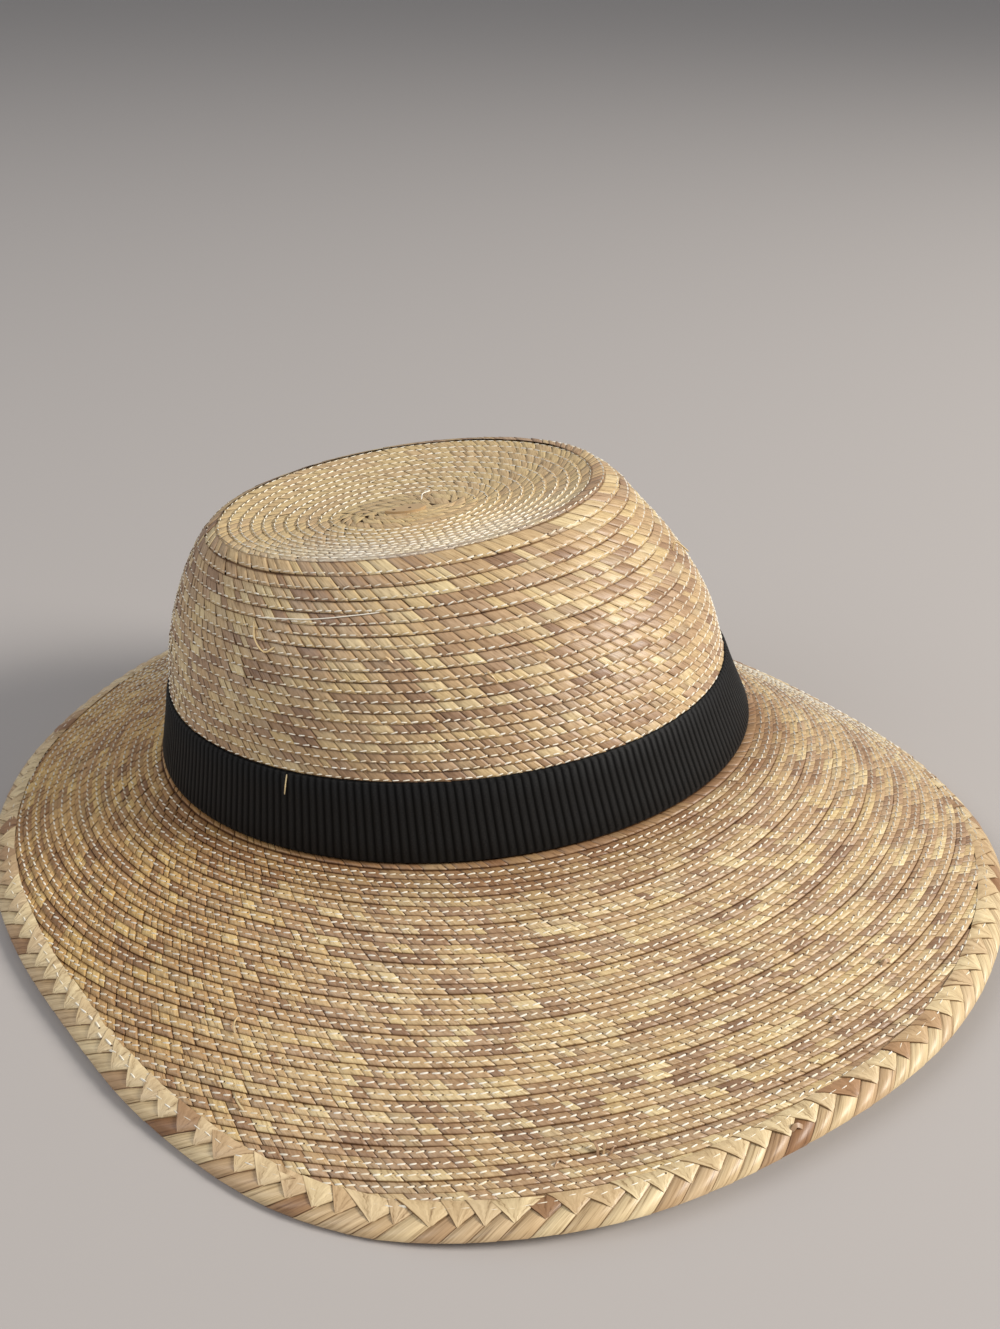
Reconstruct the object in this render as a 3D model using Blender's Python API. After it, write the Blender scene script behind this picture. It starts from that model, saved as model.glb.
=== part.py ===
"""A wide sun hat of sewn palm braid, with an oval crown, a drooping brim and a black ribbon.

The hat stands on the edge of its brim. The origin is on that surface, under the middle of the
brim's outline. +X runs along the crown's long side, -Y towards the wide front of the brim, +Z up.
Lengths are in metres and angles in degrees.
"""

import bpy
import numpy as np

# Driving sizes of the crown, measured on the outside of the straw at the crown's foot
CROWN_HALF_LENGTH = 0.1005
CROWN_HALF_WIDTH = 0.0833
CROWN_HEIGHT = 0.0825
TIP_DISH = 0.0025
STRAW_WALL = 0.0018

# How the worn hat stands: the crown's foot is above the surface and leans to the left
FOOT_HEIGHT = 0.0296
LEAN_LEFT = 3.4

# Brim, measured level from the crown's foot
BRIM_REACH = 0.100
BRIM_LIFT = 0.010

# Plaited binding folded over the brim's edge
BINDING_WIDTH = 0.0075
BINDING_SKIN = 0.0011
BINDING_FOOT = 0.0020

# Ribbon round the crown's foot
RIBBON_WIDTH = 0.0250
RIBBON_THICKNESS = 0.0008

CLEARANCE = 0.0003

# Base colour and roughness of each material
STRAW_LOOK = ((0.56, 0.39, 0.21), 0.62)
PLAIT_LOOK = ((0.60, 0.42, 0.24), 0.60)
RIBBON_LOOK = ((0.012, 0.012, 0.014), 0.72)

# Edges that turn by more than this many degrees are shaded sharp
SHARP_ANGLE = 40

# Columns round the hat, and rings from the crown's foot to its rim and from the foot to the edge
COLUMNS = 64
SIDE_RINGS = 11
BRIM_RINGS = 7

# Each row is a level of the crown's side, as shares of the named sizes. The shifts move the
# ring's middle to the right and to the back, and the rise is the ring's slope up to the right.
SIDE_COLUMNS = ("height", "half_length", "half_width", "shift_right", "shift_back", "rise")
SIDE_TABLE = (
    (0.00, 1.000, 1.000, 0.000, 0.000, 0.000),
    (0.30, 0.924, 0.911, -0.012, -0.027, 0.000),
    (0.51, 0.884, 0.853, -0.023, -0.030, 0.010),
    (0.73, 0.800, 0.770, -0.051, -0.024, 0.030),
    (0.87, 0.722, 0.680, -0.078, -0.012, 0.055),
    (0.96, 0.663, 0.610, -0.089, -0.005, 0.072),
    (1.00, 0.619, 0.560, -0.094, 0.000, 0.078),
)

# Each row is a ring of the tip, inside its rim: its size as a share of the rim's, and how far
# it lies below the rim as a share of the tip's dish
TIP_COLUMNS = ("size", "sink")
TIP_TABLE = (
    (0.93, 0.10),
    (0.78, 0.50),
    (0.55, 0.90),
    (0.30, 1.00),
    (0.12, 0.80),
)
POLE_SINK = 0.75

# Each row is a direction of the brim, turning from the right (0) over the back (90): how far it
# reaches and how high its edge is lifted, as shares of the named sizes, and the angles at which
# it falls at the crown's foot and at its edge
BRIM_COLUMNS = ("direction", "reach", "lift", "foot_fall", "edge_fall")
BRIM_TABLE = (
    (0, 0.700, 0.12, 21.0, 28.0),
    (20, 0.516, -0.04, 31.0, 33.0),
    (45, 0.438, -0.06, 37.0, 32.0),
    (70, 0.497, -0.04, 31.0, 29.0),
    (95, 0.535, -0.03, 26.0, 25.5),
    (120, 0.572, 0.03, 22.0, 22.0),
    (140, 0.595, 0.06, 20.0, 19.5),
    (160, 0.572, 0.05, 19.5, 19.5),
    (180, 0.581, -0.03, 19.0, 20.0),
    (200, 0.600, 0.08, 16.5, 20.0),
    (215, 0.635, 0.08, 15.5, 20.0),
    (230, 0.713, 0.08, 13.5, 20.5),
    (245, 0.863, 0.02, 11.0, 20.0),
    (260, 1.018, -0.08, 13.0, 10.5),
    (280, 1.075, 0.35, 20.0, 2.0),
    (300, 1.017, 0.57, 20.5, 6.0),
    (320, 0.968, 0.68, 18.0, 11.0),
    (340, 0.865, 0.75, 18.0, 14.0),
)


def column(table, names, name):
    """One named column of a table."""
    return np.array([row[names.index(name)] for row in table], float)


def curve_through(knots, values, at):
    """A smooth curve through the values at the knots, read at the places asked for."""
    slopes = np.gradient(values, knots)
    after = np.clip(np.searchsorted(knots, at, side="right"), 1, len(knots) - 1)
    before = after - 1
    span = knots[after] - knots[before]
    u = (at - knots[before]) / span
    level = values[before] * (1 + 2 * u) * (1 - u) ** 2 + values[after] * u**2 * (3 - 2 * u)
    return level + span * (slopes[before] * u * (1 - u) ** 2 - slopes[after] * u**2 * (1 - u))


def side_value(name, height_share):
    """A column of the crown's side, read at any share of its height."""
    knots = column(SIDE_TABLE, SIDE_COLUMNS, "height")
    return curve_through(knots, column(SIDE_TABLE, SIDE_COLUMNS, name), height_share)


def brim_value(name, directions):
    """A column of the brim's table, read at any directions and closed round the hat."""
    knots = column(BRIM_TABLE, BRIM_COLUMNS, "direction")
    values = column(BRIM_TABLE, BRIM_COLUMNS, name)
    wrapped_knots = np.concatenate([knots - 360, knots, knots + 360])
    wrapped_values = np.tile(values, 3)
    return curve_through(wrapped_knots, wrapped_values, directions)


DIRECTIONS = np.arange(COLUMNS) * 360 / COLUMNS
COSINE = np.cos(np.radians(DIRECTIONS))
SINE = np.sin(np.radians(DIRECTIONS))


def outward():
    """Level unit vectors square to the crown's foot, one for each column."""
    across = np.stack([CROWN_HALF_WIDTH * COSINE, CROWN_HALF_LENGTH * SINE], 1)
    return across / np.linalg.norm(across, axis=1)[:, None]


def level_outward():
    """The same unit vectors as points in space."""
    return np.c_[outward(), np.zeros(COLUMNS)]


def leaned(points):
    """Points of the upright crown, leaned to the left and raised to the height of its foot."""
    lean = np.radians(LEAN_LEFT)
    x = points[..., 0] * np.cos(lean) - points[..., 2] * np.sin(lean)
    z = points[..., 0] * np.sin(lean) + points[..., 2] * np.cos(lean) + FOOT_HEIGHT
    return np.stack([x, points[..., 1], z], -1)


def crown_ring(height):
    """One ring of the crown's outside, upright, at a height above its foot."""
    share = height / CROWN_HEIGHT
    x = CROWN_HALF_LENGTH * side_value("half_length", share) * COSINE
    y = CROWN_HALF_WIDTH * side_value("half_width", share) * SINE
    z = height + side_value("rise", share) * x
    x = x + CROWN_HALF_LENGTH * side_value("shift_right", share)
    y = y + CROWN_HALF_WIDTH * side_value("shift_back", share)
    return np.stack([x, y, z], 1)


def side_heights():
    return np.linspace(0, CROWN_HEIGHT, SIDE_RINGS + 1)


def crown_outside():
    """The rings of the crown's outside from foot to tip, and the pole in its middle."""
    rings = [crown_ring(height) for height in side_heights()]
    rim = rings[-1]
    middle = rim.mean(0)
    sizes = column(TIP_TABLE, TIP_COLUMNS, "size")
    sinks = column(TIP_TABLE, TIP_COLUMNS, "sink")
    for size, sink in zip(sizes, sinks):
        rings.append(middle + (rim - middle) * size - [0, 0, sink * TIP_DISH])
    pole = middle - [0, 0, POLE_SINK * TIP_DISH]
    return np.array(rings), pole


def ring_normals(rings, pole):
    """Outward unit normals at each point of a shell of rings that ends at a pole."""
    ended = np.concatenate([rings, np.broadcast_to(pole, rings[:1].shape)])
    up = np.concatenate([ended[1:2] - ended[:1], ended[2:] - ended[:-2]])
    round_hat = np.roll(rings, -1, axis=1) - np.roll(rings, 1, axis=1)
    normals = np.cross(round_hat, up)
    return normals / np.linalg.norm(normals, axis=2)[..., None]


def crown_mesh():
    """The crown as a shell: outside, inside and the narrow face of its foot."""
    outside, pole = crown_outside()
    inside = outside - ring_normals(outside, pole) * STRAW_WALL
    inside[0] = outside[0] - level_outward() * STRAW_WALL
    inner_pole = pole - [0, 0, STRAW_WALL]
    rings = leaned(np.concatenate([outside, inside[::-1]]))
    poles = leaned(np.array([pole, inner_pole]))
    count = len(outside)
    points = np.concatenate([rings.reshape(-1, 3), poles])
    outer_pole_index = len(points) - 2
    inner_pole_index = len(points) - 1
    faces = []
    for ring in range(2 * count):
        if ring == count - 1:
            continue
        faces += ring_faces(ring, (ring + 1) % (2 * count))
    for here in range(COLUMNS):
        after = (here + 1) % COLUMNS
        top = (count - 1) * COLUMNS
        under = count * COLUMNS
        faces.append((top + here, top + after, outer_pole_index))
        faces.append((under + after, under + here, inner_pole_index))
    return points, faces


def ring_faces(ring, next_ring):
    """The quads between two rings of points, facing away from the middle when rings go up."""
    faces = []
    for here in range(COLUMNS):
        after = (here + 1) % COLUMNS
        low = ring * COLUMNS
        high = next_ring * COLUMNS
        faces.append((low + here, low + after, high + after, high + here))
    return faces


def closed_ring_mesh(rings):
    """A solid ring round the hat, from rings that follow its section once round."""
    count = len(rings)
    faces = []
    for ring in range(count):
        faces += ring_faces(ring, (ring + 1) % count)
    return rings.reshape(-1, 3), faces


def binding_section():
    """The binding's section: outward and upward places from the middle of the brim's edge."""
    slot = STRAW_WALL / 2 + CLEARANCE
    skin = slot + BINDING_SKIN
    return np.array(
        [
            (-BINDING_WIDTH, -skin),
            (CLEARANCE - BINDING_FOOT, -skin),
            (CLEARANCE, -skin),
            (CLEARANCE + BINDING_SKIN, 0),
            (CLEARANCE, skin),
            (-BINDING_WIDTH, skin),
            (-BINDING_WIDTH, slot),
            (CLEARANCE, slot),
            (CLEARANCE, -slot),
            (-BINDING_WIDTH, -slot),
        ]
    )


def binding_offsets(edge_fall):
    """The section turned to the brim's fall at each column: level and upward offsets.

    Its two lowest points are brought to one level, so that the binding stands on a flat.
    """
    fall = np.radians(edge_fall)[None]
    out, up = binding_section().T[..., None]
    level = out * np.cos(fall) + up * np.sin(fall)
    height = up * np.cos(fall) - out * np.sin(fall)
    height[1:3] = height[1:3].min(0)
    return level, height


def brim_edge():
    """The middle of the brim's edge: its points, its fall in radians and its level reach."""
    fall = brim_value("edge_fall", DIRECTIONS)
    reach = BRIM_REACH * brim_value("reach", DIRECTIONS)
    lift = np.maximum(BRIM_LIFT * brim_value("lift", DIRECTIONS), 0)
    points = leaned(crown_ring(0.0)) + level_outward() * reach[:, None]
    points[:, 2] = lift - binding_offsets(fall)[1].min(0)
    return points, np.radians(fall), reach


def brim_middle():
    """The middle of the brim's thickness in rings from foot to edge, with upward normals."""
    edge, fall, reach = brim_edge()
    straight = BINDING_WIDTH + BINDING_SKIN
    run = reach - straight * np.cos(fall)
    start_height = leaned(crown_ring(0.0))[:, 2] - CLEARANCE - STRAW_WALL / 2
    end_height = edge[:, 2] + straight * np.sin(fall)
    foot_slope = -np.tan(np.radians(brim_value("foot_fall", DIRECTIONS))) * run
    edge_slope = -np.tan(fall) * run
    s = np.linspace(0, 1, BRIM_RINGS + 1)[:, None]
    height = (
        start_height * (1 + 2 * s) * (1 - s) ** 2
        + end_height * s**2 * (3 - 2 * s)
        + foot_slope * s * (1 - s) ** 2
        - edge_slope * s**2 * (1 - s)
    )
    slope = (
        (end_height - start_height) * 6 * s * (1 - s)
        + foot_slope * (1 - s) * (1 - 3 * s)
        + edge_slope * s * (3 * s - 2)
    ) / run
    level = leaned(crown_ring(0.0))[None, :, :2] + (s * run)[..., None] * outward()
    curved = np.concatenate([level, height[..., None]], -1)
    slopes = np.concatenate([slope, slope[-1:]])
    steepness = np.hypot(slopes, 1)[..., None]
    up = np.broadcast_to([0.0, 0.0, 1.0], (COLUMNS, 3))
    normals = (up - level_outward() * slopes[..., None]) / steepness
    return np.concatenate([curved, edge[None]]), normals


def brim_mesh():
    """The brim as a sheet with a level lip under the crown's wall."""
    middle, normals = brim_middle()
    top = middle + normals * STRAW_WALL / 2
    under = middle - normals * STRAW_WALL / 2
    lip = leaned(crown_ring(0.0) - level_outward() * STRAW_WALL)
    lip_top = lip - [0, 0, CLEARANCE]
    lip_under = lip_top - [0, 0, STRAW_WALL]
    return closed_ring_mesh(np.concatenate([[lip_under], under, top[::-1], [lip_top]]))


def binding_mesh():
    """The binding: its section carried round the brim's edge."""
    edge = brim_edge()[0]
    level, height = binding_offsets(brim_value("edge_fall", DIRECTIONS))
    rings = np.concatenate([outward() * level[..., None], height[..., None]], -1)
    return closed_ring_mesh(edge + rings)


def ribbon_mesh():
    """The ribbon, which follows the crown from just above its foot."""
    bottom = 2 * CLEARANCE
    top = bottom + RIBBON_WIDTH
    between = [height for height in side_heights() if bottom < height < top]
    wall = np.array([crown_ring(height) for height in [bottom, *between, top]])
    inner = wall + level_outward() * CLEARANCE
    outer = inner + level_outward() * RIBBON_THICKNESS
    return closed_ring_mesh(leaned(np.concatenate([outer, inner[::-1]])))


def plain_material(name, look):
    colour, roughness = look
    material = bpy.data.materials.new(name)
    material.use_nodes = True
    shader = material.node_tree.nodes["Principled BSDF"]
    shader.inputs["Base Color"].default_value = (*colour, 1.0)
    shader.inputs["Roughness"].default_value = roughness
    shader.inputs["Metallic"].default_value = 0.0
    return material


def add_object(name, points, faces, material):
    mesh = bpy.data.meshes.new(name)
    mesh.from_pydata([tuple(point) for point in points], [], faces)
    mesh.materials.append(material)
    mesh.shade_smooth()
    mesh.set_sharp_from_angle(angle=np.radians(SHARP_ANGLE))
    piece = bpy.data.objects.new(name, mesh)
    bpy.context.scene.collection.objects.link(piece)
    return piece


def clear_scene():
    for old in list(bpy.data.objects):
        bpy.data.objects.remove(old, do_unlink=True)


def main():
    clear_scene()
    straw = plain_material("palm_straw", STRAW_LOOK)
    plait = plain_material("palm_plait", PLAIT_LOOK)
    ribbon = plain_material("black_grosgrain", RIBBON_LOOK)
    binding_points, binding_faces = binding_mesh()
    corners = np.array([binding_points.min(0), binding_points.max(0)])
    origin = np.array([*corners.mean(0)[:2], 0.0])
    add_object("edge_binding", binding_points - origin, binding_faces, plait)
    pieces = (
        ("crown", crown_mesh(), straw),
        ("brim", brim_mesh(), straw),
        ("hat_band", ribbon_mesh(), ribbon),
    )
    for name, (points, faces), material in pieces:
        add_object(name, points - origin, faces, material)


main()
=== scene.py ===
import bpy
import math
import numpy as np
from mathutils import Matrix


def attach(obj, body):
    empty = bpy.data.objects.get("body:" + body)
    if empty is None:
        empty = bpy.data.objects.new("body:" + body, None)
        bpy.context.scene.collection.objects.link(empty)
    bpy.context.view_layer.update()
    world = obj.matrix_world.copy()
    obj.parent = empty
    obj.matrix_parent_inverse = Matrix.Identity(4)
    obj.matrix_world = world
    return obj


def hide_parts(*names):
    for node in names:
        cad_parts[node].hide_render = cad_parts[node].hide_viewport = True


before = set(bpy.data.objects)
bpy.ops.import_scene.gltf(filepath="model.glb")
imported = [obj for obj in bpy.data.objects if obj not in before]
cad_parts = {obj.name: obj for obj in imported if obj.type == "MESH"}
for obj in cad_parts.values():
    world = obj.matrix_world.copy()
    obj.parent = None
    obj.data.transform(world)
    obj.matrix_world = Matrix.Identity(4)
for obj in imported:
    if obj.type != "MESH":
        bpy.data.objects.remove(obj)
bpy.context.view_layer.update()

# Crown, inner shell. The real crown is one spiral of palm braid, sewn row on row from the middle
# of the tip. This shell is the back of the braid, seen inside the hat, and a dark sheet of painted
# shade that shows in the grooves between the rows.

CROWN_HALF_LENGTH = 0.1005
CROWN_HALF_WIDTH = 0.0833
CROWN_HEIGHT = 0.0825
TIP_DISH = 0.0025
STRAW_WALL = 0.0018
FOOT_HEIGHT = 0.0296
LEAN_LEFT = math.radians(3.4)
CLEARANCE = 0.0003
HAT_MIDDLE = np.array([0.008773, -0.026851, 0.0])
ROW_PITCH = 0.0031
BRAID_START = 0.11
START_FORWARD = 0.0085
GROUND_DEPTH = 0.0002
BACK_STRAND = 0.0042

SIDE_COLUMNS = ("height", "half_length", "half_width", "shift_right", "shift_back", "rise")
SIDE_TABLE = (
    (0.00, 1.000, 1.000, 0.000, 0.000, 0.000),
    (0.30, 0.924, 0.911, -0.012, -0.027, 0.000),
    (0.51, 0.884, 0.853, -0.023, -0.030, 0.010),
    (0.73, 0.800, 0.770, -0.051, -0.024, 0.030),
    (0.87, 0.722, 0.680, -0.078, -0.012, 0.055),
    (0.96, 0.663, 0.610, -0.089, -0.005, 0.072),
    (1.00, 0.619, 0.560, -0.094, 0.000, 0.078),
)
TIP_COLUMNS = ("size", "sink")
TIP_TABLE = ((1.00, 0.00), (0.93, 0.10), (0.78, 0.50), (0.55, 0.90), (0.30, 1.00), (0.12, 0.80),
             (0.0, 0.75))

STEPS = 360
ANGLES = np.arange(STEPS) * 2 * math.pi / STEPS
COSINE = np.cos(ANGLES)
SINE = np.sin(ANGLES)
NO_LENGTH = 1e-12


def column(table, names, name):
    """One named column of a table."""
    return np.array([row[names.index(name)] for row in table], float)


def unit(vectors, least=0.0):
    """Vectors scaled to length one. The least length is for vectors that may have none."""
    return vectors / (np.linalg.norm(vectors, axis=-1)[..., None] + least)


def way_along(path):
    """How far along a path each of its points is. The points may be whole rings."""
    steps = np.linalg.norm(np.diff(path, axis=0), axis=-1)
    return np.concatenate([0 * steps[:1], np.cumsum(steps, axis=0)])


def curve_through(knots, values, at):
    """A smooth curve through the values at the knots, read at the places asked for."""
    slopes = np.gradient(values, knots)
    after = np.clip(np.searchsorted(knots, at, side="right"), 1, len(knots) - 1)
    before = after - 1
    span = knots[after] - knots[before]
    u = (at - knots[before]) / span
    level = values[before] * (1 + 2 * u) * (1 - u) ** 2 + values[after] * u**2 * (3 - 2 * u)
    return level + span * (slopes[before] * u * (1 - u) ** 2 - slopes[after] * u**2 * (1 - u))


def leaned(points):
    """Points of the upright crown, leaned to the left and raised to the height of its foot."""
    x = points[..., 0] * math.cos(LEAN_LEFT) - points[..., 2] * math.sin(LEAN_LEFT)
    z = points[..., 0] * math.sin(LEAN_LEFT) + points[..., 2] * math.cos(LEAN_LEFT) + FOOT_HEIGHT
    return np.stack([x, points[..., 1], z], -1) - HAT_MIDDLE


def crown_ring(height):
    """One upright ring of the crown's outside at a height above its foot."""
    knots = column(SIDE_TABLE, SIDE_COLUMNS, "height")
    level = height / CROWN_HEIGHT
    at = {name: curve_through(knots, column(SIDE_TABLE, SIDE_COLUMNS, name), level)
          for name in SIDE_COLUMNS[1:]}
    x = CROWN_HALF_LENGTH * at["half_length"] * COSINE
    y = CROWN_HALF_WIDTH * at["half_width"] * SINE
    z = height + at["rise"] * x
    x += CROWN_HALF_LENGTH * at["shift_right"]
    y += CROWN_HALF_WIDTH * at["shift_back"]
    return np.stack([x, y, z], 1)


def level_outward():
    """Level unit vectors square to the crown's foot."""
    return unit(np.stack([CROWN_HALF_WIDTH * COSINE, CROWN_HALF_LENGTH * SINE, 0 * SINE], 1))


def tip_ring(size):
    """A ring of the tip. The rings close on a short line, as the braid's folded start does."""
    rim = crown_ring(CROWN_HEIGHT)
    middle = rim.mean(0)
    knots = column(TIP_TABLE, TIP_COLUMNS, "size")[::-1]
    sink = curve_through(knots, column(TIP_TABLE, TIP_COLUMNS, "sink")[::-1], np.array(size))
    lengthwise = size + (1 - size) * BRAID_START
    forward = START_FORWARD * (1 - size)
    return middle + (rim - middle) * [lengthwise, size, lengthwise] - [0, forward, sink * TIP_DISH]


def surface_normals(rings):
    """Outward unit normals of rings of points that run outwards or downwards."""
    down = np.gradient(rings, axis=0)
    around = np.roll(rings, -1, axis=1) - np.roll(rings, 1, axis=1)
    return unit(np.cross(down, around), NO_LENGTH)


def back_strands(rings):
    """How many of the back's strands lie round each ring up to each of its points."""
    lengths = np.linalg.norm(np.roll(rings, -1, axis=1) - rings, axis=2)
    return np.cumsum(lengths, axis=1) / BACK_STRAND


def new_object(name, data):
    """A new object in the scene."""
    made = bpy.data.objects.new(name, data)
    bpy.context.scene.collection.objects.link(made)
    return made


def shell_mesh(name, rings, close_top, materials, split):
    """A closed loop of rings as a mesh, with rings past the split in the second material."""
    count, columns = rings.shape[:2]
    points = rings.reshape(-1, 3)
    faces = []
    slots = []
    for ring in range(count if not close_top else count - 1):
        after_ring = (ring + 1) % count
        for here in range(columns):
            after = (here + 1) % columns
            faces.append((ring * columns + here, after_ring * columns + here,
                          after_ring * columns + after, ring * columns + after))
            slots.append(0 if ring < split else 1)
    if close_top:
        faces.append(tuple(range(columns)))
        faces.append(tuple((count - 1) * columns + i for i in reversed(range(columns))))
        slots += [0, 1]
    mesh = bpy.data.meshes.new(name)
    mesh.from_pydata(points.tolist(), [], faces)
    for material in materials:
        mesh.materials.append(material)
    mesh.polygons.foreach_set("material_index", slots)
    mesh.shade_smooth()
    return new_object(name, mesh)


def tones(*stops):
    """A ramp's stops, from places and colours read in the usual 0 to 255."""
    return [(place, linear(*colour)) for place, *colour in stops]


def new_material(name, roughness):
    """An empty procedural material: its node tree and its shader."""
    material = bpy.data.materials.new(name)
    material.use_nodes = True
    shader = material.node_tree.nodes["Principled BSDF"]
    shader.inputs["Roughness"].default_value = roughness
    return material, material.node_tree, shader


def add_node(tree, kind, inputs=(), **settings):
    """A node with its settings, and its inputs set to numbers or joined to other nodes' outputs."""
    node = tree.nodes.new(kind)
    for name, value in settings.items():
        setattr(node, name, value)
    for name, value in dict(inputs).items():
        if isinstance(value, bpy.types.NodeSocket):
            tree.links.new(value, node.inputs[name])
        else:
            node.inputs[name].default_value = value
    return node


def linear(red, green, blue):
    """A colour read in the usual 0 to 255 as the shader's linear colour."""
    shares = [value / 255 for value in (red, green, blue)]
    return tuple(s / 12.92 if s <= 0.04045 else ((s + 0.055) / 1.055) ** 2.4 for s in shares) + (1.0,)


def calc(tree, operation, *values, clamp=False):
    """The result of a math node."""
    node = add_node(tree, "ShaderNodeMath", dict(enumerate(values)), operation=operation, use_clamp=clamp)
    return node.outputs[0]


def shown(tree, name, part="Fac"):
    """A named value of the mesh, read in a material."""
    return add_node(tree, "ShaderNodeAttribute", attribute_name=name).outputs[part]


def mix(tree, factor, below, above, blend="MIX"):
    """Two colours mixed or multiplied."""
    return add_node(tree, "ShaderNodeMix", {"Factor": factor, "A": below, "B": above},
                    data_type="RGBA", blend_type=blend).outputs["Result"]


def noise(tree, place, scale, detail, roughness=0.5):
    """The value of a noise texture."""
    return add_node(tree, "ShaderNodeTexNoise", {"Vector": place, "Scale": scale, "Detail": detail,
                                                 "Roughness": roughness}).outputs["Fac"]


def joined(tree, *values):
    """A vector made of single values."""
    return add_node(tree, "ShaderNodeCombineXYZ", dict(zip("XYZ", values))).outputs[0]


def paint(tree, shader, colour):
    """Gives a shader its colour."""
    tree.links.new(colour, shader.inputs["Base Color"])


def add_relief(tree, shader, height, strength, depth):
    """Gives a shader a fine relief."""
    relief = add_node(tree, "ShaderNodeBump", {"Height": height, "Strength": strength, "Distance": depth})
    tree.links.new(relief.outputs[0], shader.inputs["Normal"])


def ramp(tree, factor, stops):
    """A colour ramp through the stops, each a place and a colour."""
    node = add_node(tree, "ShaderNodeValToRGB", {"Fac": factor})
    elements = node.color_ramp.elements
    while len(elements) < len(stops):
        elements.new(0.5)
    for element, (place, colour) in zip(elements, stops):
        element.position = place
        element.color = colour
    return node.outputs["Color"]


def ground_material():
    """A dark brown sheet of painted shade for the grooves between rows."""
    material, tree, shader = new_material("straw_groove", 0.85)
    place = add_node(tree, "ShaderNodeTexCoord").outputs["Object"]
    # Painted shade: the sheet is dark brown and mottled a little, standing for the shade in the grooves.
    groove_shade_mottle = noise(tree, place, 900.0, 3.0)
    paint(tree, shader, ramp(tree, groove_shade_mottle, tones((0.3, 58, 36, 18), (0.7, 104, 70, 38))))
    return material


def braid_back_material():
    """The back of the braid inside the hat: sewn rows of slanted strands, drawn on row and run, with
    painted shade in the grooves between rows and between strand ends.
    """
    material, tree, shader = new_material("braid_back", 0.68)
    row = shown(tree, "row")
    run = shown(tree, "run")
    share = calc(tree, "FRACT", row)
    number = calc(tree, "FLOOR", row)
    slant = calc(tree, "MULTIPLY_ADD", share, 0.75, run)
    jog = calc(tree, "MULTIPLY_ADD", number, 0.618, slant)
    strand = calc(tree, "FLOOR", jog)
    along = calc(tree, "FRACT", jog)
    cell = joined(tree, strand, number)
    tone = add_node(tree, "ShaderNodeTexWhiteNoise", {"Vector": cell}, noise_dimensions="3D")
    base = ramp(tree, tone.outputs["Value"], tones(
        (0.0, 166, 132, 92), (0.4, 196, 164, 118), (0.75, 208, 182, 132), (1.0, 150, 118, 88)))
    # Painted shade: the colour darkens along the edges of each row and at the ends of each strand, where
    # the grooves lie.
    edge = calc(tree, "ABSOLUTE", calc(tree, "SUBTRACT", share, 0.5))
    end = calc(tree, "ABSOLUTE", calc(tree, "SUBTRACT", along, 0.5))
    dark = ramp(tree, edge, ((0.40, (0, 0, 0, 1)), (0.49, (1, 1, 1, 1))))
    dark_end = ramp(tree, end, ((0.44, (0, 0, 0, 1)), (0.5, (0.6, 0.6, 0.6, 1))))
    darkest = calc(tree, "MAXIMUM", dark, dark_end)
    paint(tree, shader, mix(tree, darkest, base, linear(84, 56, 30)))
    return material


def add_attribute(mesh, name, values):
    """A named number or vector for each point of a mesh."""
    values = np.asarray(values, np.float32)
    kind, key = ("FLOAT_VECTOR", "vector") if values.ndim == 2 else ("FLOAT", "value")
    mesh.attributes.new(name, kind, "POINT").data.foreach_set(key, values.ravel())


straw_groove = ground_material()
braid_back = braid_back_material()

TIP_ROWS = 15
SIDE_SLOPE = 0.0905
SIDE_ROWS = round(SIDE_SLOPE / ROW_PITCH)
side_rings = [crown_ring(height) for height in np.linspace(CROWN_HEIGHT, 0, 2 * SIDE_ROWS + 1)]
tip_rings = [tip_ring(size) for size in np.linspace(0.002, 1.0, 2 * TIP_ROWS + 1)[:-1]]
CROWN_RINGS = leaned(np.array(tip_rings + side_rings))
crown_rows = np.arange(2 * TIP_ROWS + 2 * SIDE_ROWS + 1) / 2
crown_normals = surface_normals(CROWN_RINGS)
coarse = slice(None, None, 2)
outer = (CROWN_RINGS - GROUND_DEPTH * crown_normals)[:, coarse]
inner = (CROWN_RINGS - STRAW_WALL * crown_normals)[::-1][:, coarse]
inner[0] = (CROWN_RINGS[-1] - STRAW_WALL * level_outward())[coarse]
crown_inside = shell_mesh("crown_inside", np.concatenate([outer, inner]), True,
                          (straw_groove, braid_back), len(outer))
row_values = np.repeat(np.concatenate([crown_rows, crown_rows[::-1]]), STEPS // 2)
runs = back_strands(CROWN_RINGS)[:, coarse]
add_attribute(crown_inside.data, "row", row_values)
add_attribute(crown_inside.data, "run", np.concatenate([runs, runs[::-1]]).ravel())
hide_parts("crown")
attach(crown_inside, "root")


# Crown, outer rows. Flat strands of palm leaf are plaited into a narrow braid, wound as one spiral
# from the middle of the tip and sewn with each row lapped over the next. Every strand that shows
# is a slanted leaf face with fine fibre streaks, no two quite the same colour.

SLANT = 0.95
STRAND_WOBBLE = 0.03
STRAND_LENGTHS = (0.0023, 0.0076)
SHORTER_OFTEN = 1.4
WAVER = 0.032
NEW_LEAF_SHARE = 0.6
RIBBON_WIDTH = 0.0250


def on_rings(rings, rows, turn, row):
    """Places between the rings at a way round in turns and a row number."""
    at = np.interp(row, rows, np.arange(len(rows)))
    low = np.clip(at.astype(int), 0, len(rings) - 2)
    u = (at - low)[:, None]
    across = (turn % 1.0) * STEPS
    here = across.astype(int) % STEPS
    after = (here + 1) % STEPS
    v = (across - np.floor(across))[:, None]
    first = rings[low, here] * (1 - v) + rings[low, after] * v
    second = rings[low + 1, here] * (1 - v) + rings[low + 1, after] * v
    return first * (1 - u) + second * u


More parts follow.
